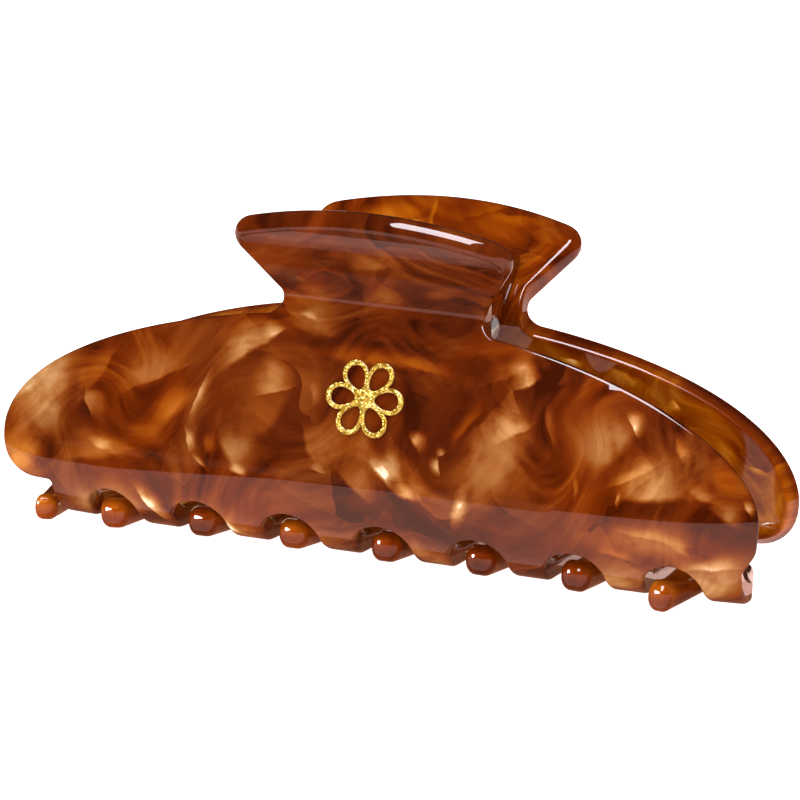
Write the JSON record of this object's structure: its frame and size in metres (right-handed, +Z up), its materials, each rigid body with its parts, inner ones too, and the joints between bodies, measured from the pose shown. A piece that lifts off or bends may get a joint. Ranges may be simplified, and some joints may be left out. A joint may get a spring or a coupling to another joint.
{
  "type": "claw clip",
  "caption": "Claw clip for hair: two bent sheet jaws with interleaving teeth and flared finger tabs, on a sprung pin hinge.",
  "frame": {"origin": "on the surface it rests on, under the middle of the clip", "axes": "+X along the clip's length, to the right when its front jaw is seen; +Y from the front jaw to the back jaw; +Z up, from the teeth to the finger tabs"},
  "size_m": [0.11, 0.0406, 0.0497],
  "materials": {
    "marbled_acetate": "polished pearlescent marbled cellulose acetate",
    "lug_acetate": "polished brown acetate",
    "pin_steel": "polished",
    "spring_steel": "drawn wire",
    "gold_foil": "glitter foil"
  },
  "bodies": {
    "front": {"front_jaw": "marbled_acetate", "front_hinge_lug_left": "lug_acetate", "front_hinge_lug_right": "lug_acetate", "hinge_pin": "pin_steel", "torsion_spring": "spring_steel", "emblem": "gold_foil"},
    "back": {"back_jaw": "marbled_acetate", "back_hinge_lug_left": "lug_acetate", "back_hinge_lug_right": "lug_acetate"}
  },
  "joints": [
    {"name": "jaw_hinge", "type": "hinge", "parent": "front", "child": "back", "pos_m": [0, 0, 0.0333], "axis": [1, 0, 0], "range_deg": [0, 60], "stiffness_Nm_per_rad": 0.12, "springref_deg": -51.57, "deforming": ["torsion_spring"]}
  ]
}
